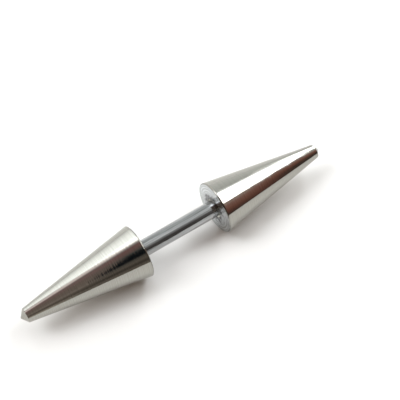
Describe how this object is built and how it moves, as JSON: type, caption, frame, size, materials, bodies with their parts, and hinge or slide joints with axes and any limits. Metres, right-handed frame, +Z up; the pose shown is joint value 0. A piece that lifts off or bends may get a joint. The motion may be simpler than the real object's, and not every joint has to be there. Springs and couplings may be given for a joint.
{
  "type": "faux taper earring",
  "caption": "Straight post earring with a long tapered cone screwed on each end, worn through a standard piercing to look like a stretching taper.",
  "frame": {"origin": "on the surface that the piece lies on, midway between the two cones, under the post's axis", "axes": "+X along the post from the left cone to the right cone, +Z up from the surface, post axis 2 mm above it"},
  "size_m": [0.025, 0.004, 0.004],
  "materials": {
    "post_steel": "mirror-polished drawn stainless steel wire",
    "cone_steel": "polished stainless steel with fine turning rings"
  },
  "bodies": {
    "post": {"post": "post_steel"},
    "left_cone": {"left_cone": "cone_steel"},
    "right_cone": {"right_cone": "cone_steel"}
  },
  "joints": [
    {"name": "left_cone_unscrew", "type": "slide", "parent": "post", "child": "left_cone", "axis": [-1, 0, 0], "range_m": [0, 0.0085]},
    {"name": "right_cone_unscrew", "type": "slide", "parent": "post", "child": "right_cone", "axis": [1, 0, 0], "range_m": [0, 0.0085]}
  ]
}
